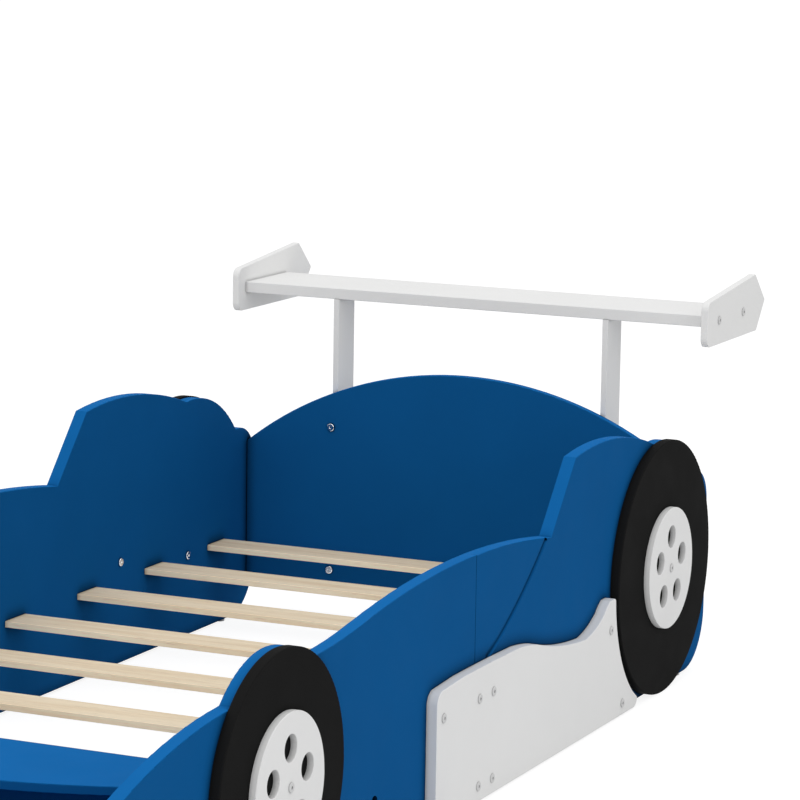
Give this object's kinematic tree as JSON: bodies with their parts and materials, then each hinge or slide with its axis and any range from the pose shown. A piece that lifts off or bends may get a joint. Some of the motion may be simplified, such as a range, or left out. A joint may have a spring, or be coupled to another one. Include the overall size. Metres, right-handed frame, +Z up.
{
  "type": "children's car bed",
  "caption": "Race-car-shaped child's bed: contoured side panels, disc wheels, sill skirts, arched headboard, slatted mattress well, nose locker and rear spoiler.",
  "frame": {"origin": "on the floor, below the middle of the whole bed's box", "axes": "+Z up; the car's nose points to -Y and the headboard and spoiler are at +Y; +X is the car's left side; X=0 is the plane of mirror symmetry"},
  "size_m": [1.1148, 2.8894, 0.7688],
  "materials": {
    "blue_paint": "satin paint on board",
    "white_paint": "satin paint on board",
    "black_paint": "matte paint on board",
    "pine": "bare planed softwood",
    "white_screw_paint": "white painted screw heads",
    "bright_chrome": "bright plated",
    "zinc_steel": "zinc plated",
    "glide_plastic": "moulded"
  },
  "bodies": {
    "root": {"block_screws": "zinc_steel", "cleat_screws": "zinc_steel", "dowels": "pine", "end_plate_screws": "white_screw_paint", "floor_cleat_left": "blue_paint", "floor_cleat_right": "blue_paint", "footboard": "blue_paint", "footboard_block_left": "blue_paint", "footboard_block_right": "blue_paint", "front_hub_left": "white_paint", "front_hub_right": "white_paint", "front_tyre_left": "black_paint", "front_tyre_right": "black_paint", "glides": "glide_plastic", "headboard": "blue_paint", "headboard_block_left": "blue_paint", "headboard_block_right": "blue_paint", "hood_cleat_left": "blue_paint", "hood_cleat_right": "blue_paint", "hood_shelf": "blue_paint", "hub_screws": "white_screw_paint", "locker_floor": "blue_paint", "nose_block_left": "blue_paint", "nose_block_right": "blue_paint", "nose_board": "blue_paint", "post_bolts": "bright_chrome", "post_nuts": "zinc_steel", "rear_hub_left": "white_paint", "rear_hub_right": "white_paint", "rear_tyre_left": "black_paint", "rear_tyre_right": "black_paint", "side_panel_front_left": "blue_paint", "side_panel_front_right": "blue_paint", "side_panel_rear_left": "blue_paint", "side_panel_rear_right": "blue_paint", "skirt_bolts": "bright_chrome", "skirt_left": "white_paint", "skirt_right": "white_paint", "skirt_screws": "white_screw_paint", "slat_1": "pine", "slat_2": "pine", "slat_3": "pine", "slat_4": "pine", "slat_5": "pine", "slat_6": "pine", "slat_7": "pine", "spoiler_blade": "white_paint", "spoiler_end_plate_left": "white_paint", "spoiler_end_plate_right": "white_paint", "spoiler_post_left": "white_paint", "spoiler_post_right": "white_paint", "wheel_bolts": "bright_chrome"}
  },
  "joints": []
}
